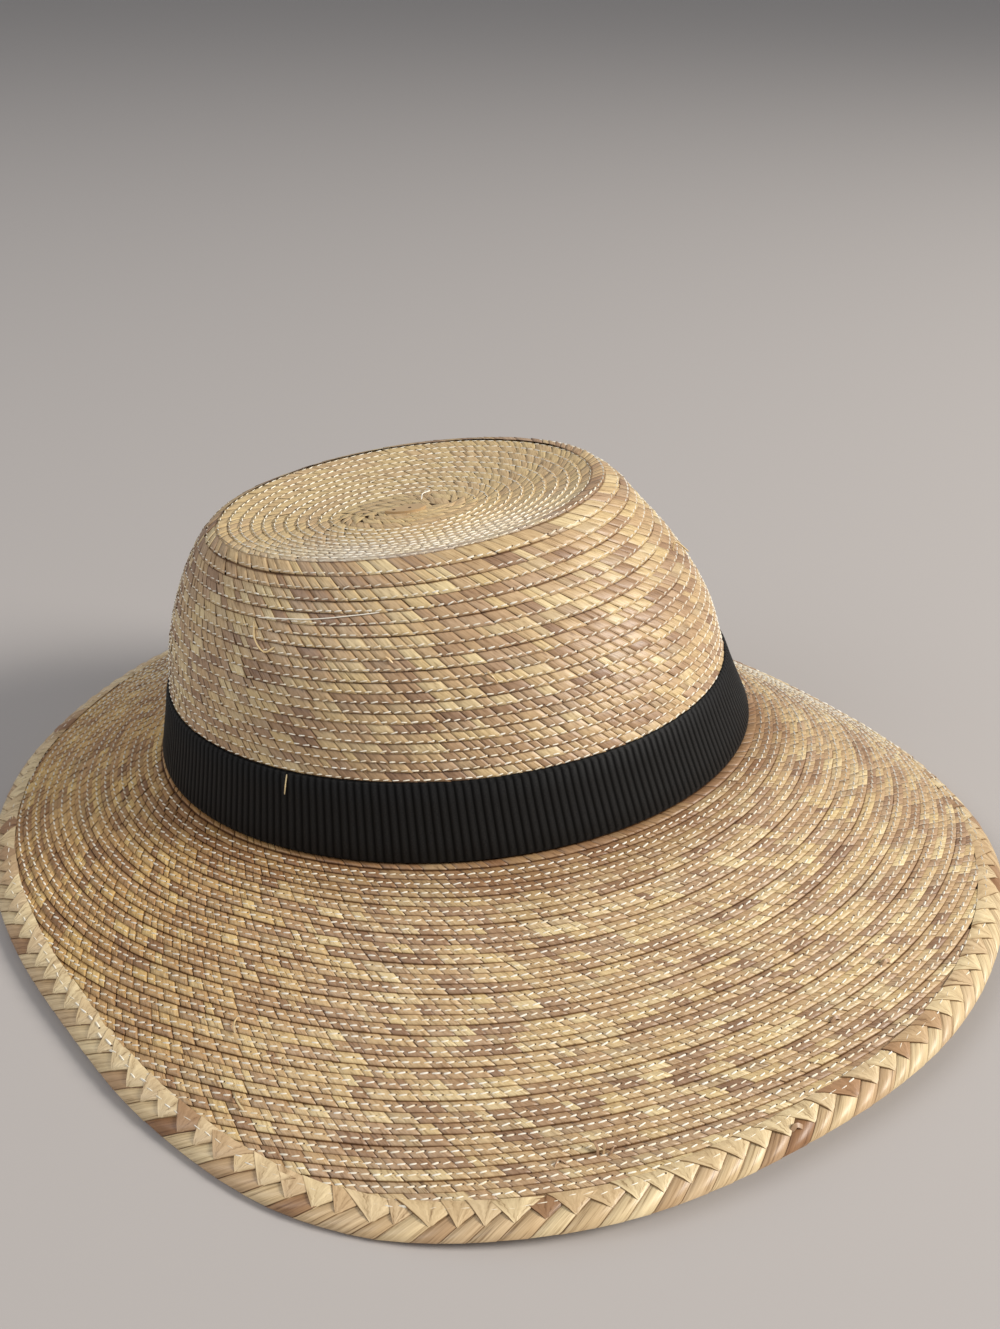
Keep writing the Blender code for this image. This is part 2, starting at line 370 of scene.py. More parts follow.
def spiral_places(rings, rows, first_row, last_row, lengths, aside, seed):
    """Pieces laid end to end along the spiral: their places, frames, lengths, row widths and tones.

    Neighbours often share a tone, because one leaf strip shows several times in a braid. The
    rows waver a little, as rows sewn by hand do.
    """
    turn = np.arange(0, last_row - first_row, 1 / 720)
    path = on_rings(rings, rows, turn, first_row + turn + aside)
    way = way_along(path)
    random = np.random.default_rng(seed)
    count = int(way[-1] / min(lengths)) + 1
    long = lengths[0] + (lengths[1] - lengths[0]) * random.random(count) ** SHORTER_OFTEN
    ends = np.cumsum(long)
    long = long[ends < way[-1]]
    ends = ends[ends < way[-1]]
    middle = np.interp(ends - long / 2, way, turn)
    waver = WAVER * (np.sin(2 * math.pi * 5.3 * middle) + 0.7 * np.sin(2 * math.pi * 11.6 * middle))
    row = first_row + middle + aside + waver * np.clip(middle / 6, 0, 1)
    place = on_rings(rings, rows, middle, row)
    behind, ahead = (on_rings(rings, rows, middle + step, row + step) for step in (-0.002, 0.002))
    along = unit(ahead - behind)
    outwards = on_rings(rings, rows, middle, row + 0.5) - on_rings(rings, rows, middle, row - 0.5)
    width = np.linalg.norm(outwards, axis=1)
    up = unit(np.cross(outwards, along), NO_LENGTH)
    new_leaf = random.random(len(long)) < NEW_LEAF_SHARE
    starts = np.maximum.accumulate(np.where(new_leaf, np.arange(len(long)), 0))
    tone = (random.random(len(long))[starts] + 0.05 * random.standard_normal(len(long))) % 1.0
    return {"place": place, "along": along, "up": up, "length": long, "width": width,
            "turn": middle % 1.0, "row": row, "tone": tone}


def chosen(places, keep):
    """The places that are kept."""
    return {name: values[keep] for name, values in places.items()}


def sizes_of(long, wide, tall):
    """The three sizes of each piece, from values that may be single numbers."""
    return np.stack(np.broadcast_arrays(long, wide, tall), 1).astype(float)


def point_cloud(name, places, sizes, zones=None):
    """Loose points that carry the frame, size and colour zones of the piece laid at each."""
    mesh = bpy.data.meshes.new(name)
    mesh.from_pydata(places["place"].tolist(), [], [])
    add_attribute(mesh, "along", places["along"])
    add_attribute(mesh, "up", places["up"])
    add_attribute(mesh, "size", sizes)
    add_attribute(mesh, "tone", places["tone"])
    for zone, values in (zones or {}).items():
        add_attribute(mesh, zone, values)
    return new_object(name, mesh)


def new_tree(name, settings):
    """An empty geometry tree with named settings, and its input sockets."""
    tree = bpy.data.node_groups.new(name, "GeometryNodeTree")
    tree.interface.new_socket("Geometry", in_out="INPUT", socket_type="NodeSocketGeometry")
    for setting, kind in settings.items():
        tree.interface.new_socket(setting, in_out="INPUT", socket_type="NodeSocket" + kind)
    tree.interface.new_socket("Geometry", in_out="OUTPUT", socket_type="NodeSocketGeometry")
    return tree, tree.nodes.new("NodeGroupInput").outputs


def end_tree(tree, real, direction, way, material):
    """Ends a tree: shifts its points by a way along a direction, and sets the material."""
    shift = add_node(tree, "ShaderNodeVectorMath", {0: direction, 3: way}, operation="SCALE").outputs[0]
    moved = add_node(tree, "GeometryNodeSetPosition", {"Geometry": real, "Offset": shift}).outputs[0]
    done = add_node(tree, "GeometryNodeSetMaterial", {"Geometry": moved, "Material": material}).outputs[0]
    tree.links.new(done, tree.nodes.new("NodeGroupOutput").inputs[0])


def named(tree, name, kind="FLOAT_VECTOR"):
    """A named value of the points, read in a geometry tree."""
    return add_node(tree, "GeometryNodeInputNamedAttribute", {"Name": name}, data_type=kind).outputs[0]


def laying_tree():
    """Lays a copy of one small piece at every point, turned to its frame.

    The slant then shears each copy, so that its outer side runs ahead of its inner side.
    """
    tree, given = new_tree("lay_along_rows", {"Piece": "Object", "Slant": "Float", "Wobble": "Float",
                                              "Seed": "Int", "Material": "Material"})
    piece = add_node(tree, "GeometryNodeObjectInfo", {"Object": given["Piece"]}).outputs["Geometry"]
    turned = add_node(tree, "FunctionNodeAxesToRotation",
                      {"Primary Axis": named(tree, "up"), "Secondary Axis": named(tree, "along")},
                      primary_axis="Z", secondary_axis="X").outputs[0]
    most = joined(tree, given["Wobble"], given["Wobble"], given["Wobble"])
    least = add_node(tree, "ShaderNodeVectorMath", {0: most, 3: -1.0}, operation="SCALE").outputs[0]
    wobble = add_node(tree, "FunctionNodeRandomValue", {0: least, 1: most, "Seed": given["Seed"]},
                      data_type="FLOAT_VECTOR").outputs[0]
    turned = add_node(tree, "FunctionNodeRotateRotation", {"Rotation": turned, "Rotate By": wobble},
                      rotation_space="LOCAL").outputs[0]
    laid = add_node(tree, "GeometryNodeInstanceOnPoints",
                    {"Points": given["Geometry"], "Instance": piece, "Rotation": turned,
                     "Scale": named(tree, "size")}).outputs[0]
    real = add_node(tree, "GeometryNodeRealizeInstances", {"Geometry": laid}).outputs[0]
    width = add_node(tree, "ShaderNodeSeparateXYZ", {0: named(tree, "size")}).outputs["Y"]
    ahead = calc(tree, "MULTIPLY", named(tree, "inward", "FLOAT"), width)
    ahead = calc(tree, "MULTIPLY", calc(tree, "MULTIPLY", ahead, given["Slant"]), -1.0)
    end_tree(tree, real, named(tree, "along"), ahead, given["Material"])
    return tree


def made_plain(source, tree, values, drop=()):
    """The piece that the tree makes of the source, as a plain mesh of its own."""
    modifier = source.modifiers.new("laid", "NODES")
    modifier.node_group = tree
    sockets = {item.name: item.identifier for item in tree.interface.items_tree if item.in_out == "INPUT"}
    for name, value in values.items():
        modifier[sockets[name]] = value
    evaluated = source.evaluated_get(bpy.context.evaluated_depsgraph_get())
    mesh = bpy.data.meshes.new_from_object(evaluated)
    mesh.name = source.name
    for name in drop:
        if name in mesh.attributes:
            mesh.attributes.remove(mesh.attributes[name])
    name = source.name
    bpy.data.objects.remove(source, do_unlink=True)
    return new_object(name, mesh)


FRAME_VALUES = ("along", "up", "size", "inward")


def laid(cloud, piece, slant, wobble, seed, material):
    """The small piece laid at every point of the cloud, as one mesh."""
    values = {"Piece": piece, "Slant": slant, "Wobble": wobble, "Seed": seed, "Material": material}
    return made_plain(cloud, rows_tree, values, FRAME_VALUES)


def little_piece(name, points, faces, values):
    """A small piece that is laid many times, with its own named values at its points."""
    mesh = bpy.data.meshes.new(name)
    mesh.from_pydata(points, [], faces)
    for value_name, numbers in values.items():
        add_attribute(mesh, value_name, numbers)
    mesh.shade_smooth()
    mesh.set_sharp_from_angle(angle=math.radians(50))
    return new_object(name, mesh)


def grid_faces(rows, columns):
    """Faces of a grid of points whose rows run inwards and whose columns run along."""
    return [(r * columns + c, r * columns + c + 1, (r + 1) * columns + c + 1, (r + 1) * columns + c)
            for r in range(rows - 1) for c in range(columns - 1)]


# The strand's profile across the row: places inwards from the middle of the row as shares of its
# width, and heights in metres. The outer edge stands up and the inner edge dips under the last row.
STRAND_PROFILE = ((-0.50, -0.00020), (-0.488, 0.00050), (-0.16, 0.00048), (0.28, 0.00029), (0.60, -0.00008))
STRAND_ENDS = ((-0.50, -0.00022), (-0.48, -0.00004), (-0.17, 0.00002), (0.17, 0.00004), (0.48, 0.00006),
               (0.50, -0.00016))
strand_points = []
strand_grain = []
for inward, height in STRAND_PROFILE:
    for ahead, rise in STRAND_ENDS:
        strand_points.append((ahead, inward, height + rise))
        strand_grain.append((ahead, inward, 0.0))
strand = little_piece("strand", strand_points, grid_faces(len(STRAND_PROFILE), len(STRAND_ENDS)),
                      {"grain": strand_grain, "inward": [point[1] for point in strand_points]})


def strand_material(name, stops, roughness, lapped):
    """Palm leaf: a tone for each strand, streaks along its fibres, and painted shade towards its edges,
    where one strand meets the next.

    A lapped strand also has painted shade where its inner edge lies under the last row, and on the step
    down at its outer edge.
    """
    material, tree, shader = new_material(name, roughness)
    tone = shown(tree, "tone")
    crisp = calc(tree, "SUBTRACT", 1.0, shown(tree, "smooth"))
    parts = add_node(tree, "ShaderNodeSeparateXYZ", {0: shown(tree, "grain", "Vector")})
    fine = calc(tree, "MULTIPLY", parts.outputs["X"], 8.0)
    slow = calc(tree, "MULTIPLY", parts.outputs["Y"], 0.9)
    own = calc(tree, "MULTIPLY", tone, 91.0)
    streak = noise(tree, joined(tree, fine, slow, own), 1.0, 4.0, 0.7)
    base = ramp(tree, tone, stops)
    place = add_node(tree, "ShaderNodeTexCoord").outputs["Object"]
    patch = noise(tree, place, 38.0, 2.0)
    band = calc(tree, "MULTIPLY_ADD", patch, 0.8, shown(tree, "brown"))
    band = calc(tree, "SUBTRACT", band, 0.8, clamp=True)
    base = mix(tree, band, base, linear(138, 98, 62))
    # Painted shade: a warmer, darker tint on the brim's left side, away from the light.
    base = mix(tree, shown(tree, "yellow"), base, linear(255, 232, 178), "MULTIPLY")
    powder = calc(tree, "MULTIPLY", shown(tree, "dust"), patch)
    base = mix(tree, powder, base, linear(208, 202, 190))
    shade = ramp(tree, streak, ((0.32, (0.42, 0.35, 0.29, 1)), (0.44, (0.86, 0.83, 0.80, 1)),
                                (0.56, (1.0, 1.0, 1.0, 1)), (0.70, (1.20, 1.22, 1.25, 1))))
    base = mix(tree, 1.0, base, shade, "MULTIPLY")
    # Painted shade: each strand darkens towards its edges, where it meets the next strand.
    side = calc(tree, "ABSOLUTE", parts.outputs["X"])
    rim = ramp(tree, side, ((0.455, (1, 1, 1, 1)), (0.49, (0.34, 0.26, 0.19, 1))))
    base = mix(tree, crisp, base, rim, "MULTIPLY")
    # Painted shade under the last row's edge and on the step down at the outer edge of each row.
    if lapped:
        lap = ramp(tree, parts.outputs["Y"], ((0.42, (1, 1, 1, 1)), (0.50, (0.34, 0.25, 0.17, 1))))
        skirt = calc(tree, "ADD", parts.outputs["Y"], 0.5)
        skirt = ramp(tree, skirt, ((0.004, (0.35, 0.26, 0.17, 1)), (0.016, (1, 1, 1, 1))))
        for groove in (lap, skirt):
            base = mix(tree, crisp, base, groove, "MULTIPLY")
    paint(tree, shader, base)
    add_relief(tree, shader, streak, 0.35, 0.0002)
    return material


braid_straw = strand_material("braid_straw", tones(
    (0.00, 162, 129, 99), (0.12, 184, 152, 117), (0.24, 198, 167, 126), (0.40, 206, 177, 134),
    (0.52, 216, 190, 140), (0.62, 194, 163, 126), (0.74, 230, 208, 160), (0.82, 180, 153, 120),
    (0.92, 192, 161, 128), (1.00, 150, 118, 92)), 0.42, True)
rows_tree = laying_tree()
RIBBON_TOP = 2 * CLEARANCE + RIBBON_WIDTH
crown_last_row = TIP_ROWS + SIDE_ROWS * (1 - (RIBBON_TOP - 0.001) / CROWN_HEIGHT)
crown_places = spiral_places(CROWN_RINGS, crown_rows, -0.25, crown_last_row, STRAND_LENGTHS, 0.0, 11)
smooth_tip = np.clip((TIP_ROWS + 1 - crown_places["row"]) / 3, 0, 1)
crown_relief = 1 - 0.45 * smooth_tip
even_tone = 0.38 + 0.16 * crown_places["tone"]
crown_places["tone"] = np.where(smooth_tip > 0.5, even_tone, crown_places["tone"])
crown_sizes = sizes_of(crown_places["length"], crown_places["width"], crown_relief)
on_tip = np.clip((crown_places["row"] - 6) / 5, 0, 1) * (crown_places["row"] < TIP_ROWS - 0.4)
front_right = np.clip(np.cos((crown_places["turn"] - 0.78) * 2 * math.pi) * 1.6 - 0.4, 0, 1)
crown_zones = {"brown": np.full(len(on_tip), 0.20), "dust": 0.9 * on_tip * front_right,
               "smooth": 0.92 * smooth_tip}
crown_cloud = point_cloud("crown_rows", crown_places, crown_sizes, crown_zones)
crown_braid = laid(crown_cloud, strand, SLANT, STRAND_WOBBLE, 3, braid_straw)
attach(crown_braid, "root")


# Brim, underside. The braid goes on from the crown's foot under the ribbon and out to the edge.
# Where the brim is narrow the rows run out under the edge binding.

BRIM_REACH = 0.100
BRIM_LIFT = 0.010
BINDING_WIDTH = 0.0075
BINDING_SKIN = 0.0011
BINDING_FOOT = 0.0020
CURVE_STEPS = 121
SHELL_STEPS = 45
SHELL_SHORT = 0.0015
BRIM_COLUMNS = ("direction", "reach", "lift", "foot_fall", "edge_fall")
BRIM_TABLE = (
    (0, 0.700, 0.12, 21.0, 28.0), (20, 0.516, -0.04, 31.0, 33.0), (45, 0.438, -0.06, 37.0, 32.0),
    (70, 0.497, -0.04, 31.0, 29.0), (95, 0.535, -0.03, 26.0, 25.5), (120, 0.572, 0.03, 22.0, 22.0),
    (140, 0.595, 0.06, 20.0, 19.5), (160, 0.572, 0.05, 19.5, 19.5), (180, 0.581, -0.03, 19.0, 20.0),
    (200, 0.600, 0.08, 16.5, 20.0), (215, 0.635, 0.08, 15.5, 20.0), (230, 0.713, 0.08, 13.5, 20.5),
    (245, 0.863, 0.02, 11.0, 20.0), (260, 1.018, -0.08, 13.0, 10.5), (280, 1.075, 0.35, 20.0, 2.0),
    (300, 1.017, 0.57, 20.5, 6.0), (320, 0.968, 0.68, 18.0, 11.0), (340, 0.865, 0.75, 18.0, 14.0),
)


def brim_value(name):
    """A column of the brim's table, read at every direction and closed round the hat."""
    knots = column(BRIM_TABLE, BRIM_COLUMNS, "direction")
    values = column(BRIM_TABLE, BRIM_COLUMNS, name)
    around = np.concatenate([knots - 360, knots, knots + 360])
    return curve_through(around, np.tile(values, 3), np.degrees(ANGLES))


edge_fall = np.radians(brim_value("edge_fall"))
binding_half = STRAW_WALL / 2 + CLEARANCE + BINDING_SKIN
lowest = np.minimum(-binding_half * np.cos(edge_fall) - CLEARANCE * np.sin(edge_fall),
                    -binding_half * np.cos(edge_fall) + (BINDING_FOOT - CLEARANCE) * np.sin(edge_fall))
foot = leaned(crown_ring(0.0))
outward = level_outward()
reach = BRIM_REACH * brim_value("reach")
EDGE = foot + outward * reach[:, None]
EDGE[:, 2] = np.maximum(BRIM_LIFT * brim_value("lift"), 0) - lowest
straight = BINDING_WIDTH + BINDING_SKIN
run_out = reach - straight * np.cos(edge_fall)
start_height = foot[:, 2] - CLEARANCE - STRAW_WALL / 2
end_height = EDGE[:, 2] + straight * np.sin(edge_fall)
foot_slope = -np.tan(np.radians(brim_value("foot_fall"))) * run_out
edge_slope = -np.tan(edge_fall) * run_out
s = np.linspace(0, 1, CURVE_STEPS)[:, None]
brim_height = (start_height * (1 + 2 * s) * (1 - s) ** 2 + end_height * s**2 * (3 - 2 * s)
               + foot_slope * s * (1 - s) ** 2 - edge_slope * s**2 * (1 - s))
brim_curve = foot[None] + (s * run_out)[..., None] * outward
brim_curve[..., 2] = brim_height
brim_curve = np.concatenate([brim_curve, EDGE[None]])
slope_length = way_along(brim_curve)
BRIM_ROWS = int(slope_length[-1].max() / ROW_PITCH) + 2
brim_rows = np.arange(0, 2 * BRIM_ROWS + 1) / 2
BRIM_MIDDLE = np.zeros((len(brim_rows), STEPS, 3))
for way_round in range(STEPS):
    for axis in range(3):
        BRIM_MIDDLE[:, way_round, axis] = np.interp(brim_rows * ROW_PITCH, slope_length[:, way_round],
                                                    brim_curve[:, way_round, axis])
past_edge = np.maximum(brim_rows[:, None] * ROW_PITCH - slope_length[-1], 0)[..., None]
edge_direction = outward * np.cos(edge_fall)[:, None] - np.array([0, 0, 1]) * np.sin(edge_fall)[:, None]
BRIM_MIDDLE += past_edge * edge_direction
brim_up = surface_normals(BRIM_MIDDLE)
BRIM_RINGS = BRIM_MIDDLE + brim_up * STRAW_WALL / 2
shell_rows = np.linspace(0, 1, SHELL_STEPS)[:, None] * (slope_length[-1] - SHELL_SHORT) / ROW_PITCH
turns = ANGLES / (2 * math.pi)
shell_rings = np.array([on_rings(BRIM_MIDDLE, brim_rows, turns, at_row) for at_row in shell_rows])
shell_up = surface_normals(shell_rings)
lip = foot - STRAW_WALL * outward - [0, 0, CLEARANCE]
# The top side is the dark sheet of painted shade that shows in the grooves between the rows.
ground = shell_rings + shell_up * (STRAW_WALL / 2 - GROUND_DEPTH)
back = shell_rings - shell_up * STRAW_WALL / 2
top_side = np.concatenate([[lip - [0, 0, GROUND_DEPTH]], ground])
low_side = np.concatenate([back[::-1], [lip - [0, 0, STRAW_WALL]]])
brim_underside = shell_mesh("brim_underside", np.concatenate([top_side, low_side])[:, coarse], False,
                            (straw_groove, braid_back), len(top_side))
for name, values in (("row", shell_rows), ("run", back_strands(shell_rings))):
    both_sides = np.concatenate([values[:1], values, values[::-1], values[:1]])
    add_attribute(brim_underside.data, name, both_sides[:, coarse].ravel())
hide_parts("brim")
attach(brim_underside, "root")


# Brim, outer rows. The same braid and the same strands as on the crown, browner near the ribbon
# and with painted shade at the left: a warmer, darker tint on the side away from the light.

ROWS_SHORT = 0.0071
edge_row = (slope_length[-1] - ROWS_SHORT) / ROW_PITCH


def round_value(values, turn):
    """Values given at every step round the hat, read at a way round in turns."""
    return np.interp(turn * STEPS, np.arange(STEPS + 1), np.append(values, values[0]))


brim_places = spiral_places(BRIM_RINGS, brim_rows, -0.45, edge_row.max() + 0.5, STRAND_LENGTHS, 0.0, 12)
brim_places = chosen(brim_places, brim_places["row"] < round_value(edge_row, brim_places["turn"]))
brim_sizes = sizes_of(brim_places["length"], brim_places["width"], 1)
degrees = brim_places["turn"] * 360
near_ribbon = np.clip(1.3 - brim_places["row"] / 7, 0, 1)
front_side = np.clip(np.cos(np.radians(degrees - 280)) * 1.3 + 0.5, 0, 1)
# Painted shade on the left of the brim, the side away from the light.
left_side = np.clip(np.cos(np.radians(degrees - 195)) * 2.2 - 0.9, 0, 1)
brim_zones = {"brown": near_ribbon * front_side * 0.92 + 0.12, "yellow": 0.70 * left_side}
brim_cloud = point_cloud("brim_rows", brim_places, brim_sizes, brim_zones)
brim_braid = laid(brim_cloud, strand, SLANT, STRAND_WOBBLE, 7, braid_straw)
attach(brim_braid, "root")


# Stitching. One cream thread runs along the spiral, just below the edge of the row above, in
# stitches about 2.4 mm long, with a needle hole at the end of each.

STITCH_PITCH = (0.00270, 0.00330)
STITCH_GAP = 0.0006
STITCH_INSIDE = 0.31
STITCH_RISE = math.radians(9)
STITCH_UNEVEN = 0.08
STITCH_WOBBLE = 0.04
STITCH_LIFT = 0.00046
TIP_STITCH = 0.65
stitch_section = ((-0.00030, -0.00012), (0.00030, -0.00012), (0.0, 0.00024))
stitch_stations = ((-0.5, -0.00030, 0.6), (-0.36, 0.00002, 1.0), (0.0, 0.00008, 1.05), (0.36, 0.00002, 1.0),
                   (0.5, -0.00030, 0.6))
stitch_points = []
for ahead, rise, fat in stitch_stations:
    for inward, height in stitch_section:
        stitch_points.append((ahead, inward * fat, rise + height * fat))
stitch_faces = [(2, 1, 0), (12, 13, 14)]
for station in range(4):
    for side in range(3):
        a = station * 3 + side
        b = station * 3 + (side + 1) % 3
        stitch_faces.append((a, b, b + 3, a + 3))
# The needle hole is a small face past the stitch's end, painted dark as the shade inside the hole.
hole_at = len(stitch_points)
stitch_points += [(0.52, 0.00022, -0.00002), (0.46, -0.00020, -0.00002), (0.60, -0.00034, -0.00004),
                  (0.68, 0.00010, -0.00004)]
stitch_faces.append((hole_at, hole_at + 1, hole_at + 2, hole_at + 3))
stitch = little_piece("stitch", stitch_points, stitch_faces,
                      {"hole": [0.0] * hole_at + [1.0] * 4, "inward": [0.0] * len(stitch_points)})


def thread_material():
    """Cream sewing thread, a little uneven, and painted shade: dark faces for the needle holes between the
    stitches.
    """
    material, tree, shader = new_material("cream_thread", 0.62)
    cream = ramp(tree, shown(tree, "tone"),
                 tones((0.0, 238, 226, 200), (0.5, 248, 240, 220), (1.0, 252, 248, 236)))
    # Painted shade: the hole faces are dark brown, for the shade inside the holes.
    paint(tree, shader, mix(tree, shown(tree, "hole"), cream, linear(70, 46, 24)))
    return material


def turned_in(places, angle):
    """Turns the frame of each place inwards by its angle, and gives the old ways inwards."""
    inwards = np.cross(places["up"], places["along"])
    places["along"] = places["along"] * np.cos(angle)[:, None] + inwards * np.sin(angle)[:, None]
    return inwards


def sewn(name, rings, rows, first_row, last_row, limit_row, fine_row, seed):
    """The stitches along one spiral, raised to lie on the strands, and finer up to the fine row."""
    places = spiral_places(rings, rows, first_row, last_row, STITCH_PITCH, -STITCH_INSIDE, seed)
    places = chosen(places, places["row"] < round_value(limit_row, places["turn"]))
    random = np.random.default_rng(seed)
    turned_in(places, STITCH_RISE + STITCH_UNEVEN * random.standard_normal(len(places["row"])))
    fine = np.where(places["row"] < fine_row, TIP_STITCH, 1.0)
    places["place"] = places["place"] + places["up"] * (STITCH_LIFT * fine)[:, None]
    cloud = point_cloud(name, places, sizes_of(places["length"] - STITCH_GAP, 0.95 * fine, fine))
    return laid(cloud, stitch, 0.0, STITCH_WOBBLE, seed, cream_thread)


cream_thread = thread_material()
crown_stitching = sewn("crown_stitching", CROWN_RINGS, crown_rows, 4.4, crown_last_row,
                        np.full(STEPS, crown_last_row), TIP_ROWS, 21)
brim_stitching = sewn("brim_stitching", BRIM_RINGS, brim_rows, 0.9, edge_row.max() + 0.5, edge_row + 0.4,
                       0, 22)
for piece in (crown_stitching, brim_stitching):
    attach(piece, "root")


# Ribbon. A black grosgrain ribbon is pulled round the crown's foot and caught down out of sight.
# Its fat weft ribs run from edge to edge, and a narrow selvage closes both edges.

RIBBON_THICKNESS = 0.0008
RIBS = 240
RIB_DEPTH = 0.00042
SELVAGE = 0.0011
RIBBON_STEPS = 8
fine_round = RIBS * RIBBON_STEPS


def finer(rings, steps):
    """Rings with more points round, by straight interpolation."""
    at = np.arange(steps) * STEPS / steps
    here = at.astype(int)
    u = (at - here)[:, None]
    return rings[:, here] * (1 - u) + rings[:, (here + 1) % STEPS] * u


low_levels = np.array([0.0, 0.0004, SELVAGE, SELVAGE + 0.0004, 0.007])
ribbon_levels = np.concatenate([low_levels, [RIBBON_WIDTH / 2], (RIBBON_WIDTH - low_levels)[::-1]])
ribbon_wall = np.array([crown_ring(2 * CLEARANCE + level) for level in ribbon_levels])
ribbon_inner = leaned(ribbon_wall + level_outward() * CLEARANCE)
ribbon_outer = leaned(ribbon_wall + level_outward() * (CLEARANCE + RIBBON_THICKNESS))
few = [0, 4, 7, 10]
ribbon_rings = np.concatenate([finer(ribbon_outer, fine_round)[::-1], finer(ribbon_inner[few], fine_round)])
levels = np.concatenate([ribbon_levels[::-1], ribbon_levels[few]])
hat_ribbon = shell_mesh("hat_ribbon", ribbon_rings, False, (), len(ribbon_rings))
flat = np.minimum(levels, RIBBON_WIDTH - levels)
ribbed = np.where(flat > SELVAGE + 0.0002, 1.0, np.where(flat < 0.0002, -0.6, 0.25))
ribbed[len(ribbon_levels):] = 0.0
add_attribute(hat_ribbon.data, "ribbed", np.repeat(ribbed, fine_round))
add_attribute(hat_ribbon.data, "rib", np.tile(np.arange(fine_round) / RIBBON_STEPS, len(levels)))
add_attribute(hat_ribbon.data, "level", np.repeat(levels, fine_round))


def rib_tree():
    """Raises the ribbon's face into round ribs."""
    tree, given = new_tree("raise_ribs", {"Depth": "Float", "Material": "Material"})
    wave = calc(tree, "SINE", calc(tree, "MULTIPLY", named(tree, "rib", "FLOAT"), math.pi))
    wave = calc(tree, "POWER", calc(tree, "ABSOLUTE", wave), 0.6)
    wave = calc(tree, "MULTIPLY", wave, named(tree, "ribbed", "FLOAT"))
    rise = calc(tree, "MULTIPLY", wave, given["Depth"])
    real = add_node(tree, "GeometryNodeRealizeInstances", {"Geometry": given["Geometry"]}).outputs[0]
    end_tree(tree, real, tree.nodes.new("GeometryNodeInputNormal").outputs[0], rise, given["Material"])
    return tree


def grosgrain_material():
    """Black grosgrain: fine warp threads run along it, and painted shade darkens the grooves between ribs.
    """
    material, tree, shader = new_material("black_grosgrain", 0.55)
    rib = shown(tree, "rib")
    warp = calc(tree, "MULTIPLY", shown(tree, "level"), 5200.0)
    across = calc(tree, "MULTIPLY", rib, 4.0)
    weave = noise(tree, joined(tree, across, warp), 1.0, 2.0)
    colour = ramp(tree, weave, ((0.3, (0.006, 0.006, 0.0065, 1)), (0.75, (0.024, 0.023, 0.022, 1))))
    # Painted shade: the colour darkens in the grooves between the ribs.
    phase = calc(tree, "ABSOLUTE", calc(tree, "SUBTRACT", calc(tree, "FRACT", rib), 0.5))
    groove = ramp(tree, phase, ((0.12, (1, 1, 1, 1)), (0.42, (0.05, 0.05, 0.05, 1))))
    paint(tree, shader, mix(tree, 1.0, colour, groove, "MULTIPLY"))
    shader.inputs["Specular IOR Level"].default_value = 0.14
    shader.inputs["Sheen Weight"].default_value = 0.02
    shader.inputs["Sheen Roughness"].default_value = 0.4
    add_relief(tree, shader, weave, 0.5, 0.00015)
    return material


rib_values = {"Depth": RIB_DEPTH, "Material": grosgrain_material()}
hat_ribbon = made_plain(hat_ribbon, rib_tree(), rib_values, ("ribbed",))
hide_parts("hat_band")
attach(hat_ribbon, "root")


# Edge binding. A wider plait of whole leaf strips is folded over the brim's edge and sewn through.
# Outer strips wrap round the edge, and short inner strips lean the other way over their ends.

PLAIT_PITCH = 0.0073
PLAIT_SLANT = 1.20
LEAF_WOBBLE = 0.015
edge_up = outward * np.sin(edge_fall)[:, None] + np.array([0, 0, 1]) * np.cos(edge_fall)[:, None]


def edge_ring(out, up):
    """A ring that keeps one place in the binding's section all round the edge."""
    return EDGE + edge_direction * out + edge_up * up


plait_straw = strand_material("plait_straw", tones(
    (0.00, 150, 110, 76), (0.05, 180, 146, 110), (0.14, 206, 176, 134), (0.35, 220, 194, 150),
    (0.60, 228, 206, 162), (0.80, 214, 188, 148), (0.93, 200, 168, 128), (1.00, 168, 128, 92)),
    0.40, False)
base_section = ((-0.0070, 0.0011), (-0.0030, 0.0010), (-0.0014, 0.0003), (-0.0006, -0.0008),
                (-0.0020, -0.0014), (-0.0070, -0.0014))
base_rings = np.array([edge_ring(out, up) for out, up in base_section])[::-1]
plait_base = shell_mesh("plait_base", base_rings[:, coarse], False, (plait_straw,), len(base_section))

# The leaf's way across the binding: places inwards from the brim's edge and heights over its
# middle, from the inner side over the edge to the underside
LEAF_WAY = ((0.0078, 0.00150), (0.0060, 0.00162), (0.0038, 0.00156), (0.0018, 0.00124),
            (0.0004, 0.00056), (-0.0006, -0.00030), (-0.0007, -0.00110), (0.0000, -0.00180),
            (0.0012, -0.00212), (0.0035, -0.00205), (0.0073, -0.00165))
LEAF_ENDS = ((-0.51, -0.00030), (-0.49, -0.00006), (0.0, 0.00003), (0.49, 0.00010), (0.51, -0.00020))
leaf_way = np.array(LEAF_WAY)
leaf_run = way_along(leaf_way)
leaf_tangent = unit(np.gradient(leaf_way, axis=0))
leaf_points = []
leaf_grain = []
leaf_inward = []
for (inward, height), (level, upward), run in zip(leaf_way, leaf_tangent, leaf_run):
    for ahead, rise in LEAF_ENDS:
        leaf_points.append((ahead, inward + upward * rise, height - level * rise))
        leaf_grain.append((ahead, run / 0.012, 0.0))
        leaf_inward.append(run - leaf_way[0, 0])
leaf_faces = [face[::-1] for face in grid_faces(len(LEAF_WAY), len(LEAF_ENDS))]
outer_leaf = little_piece("outer_leaf", leaf_points, leaf_faces,
                          {"grain": leaf_grain, "inward": leaf_inward})

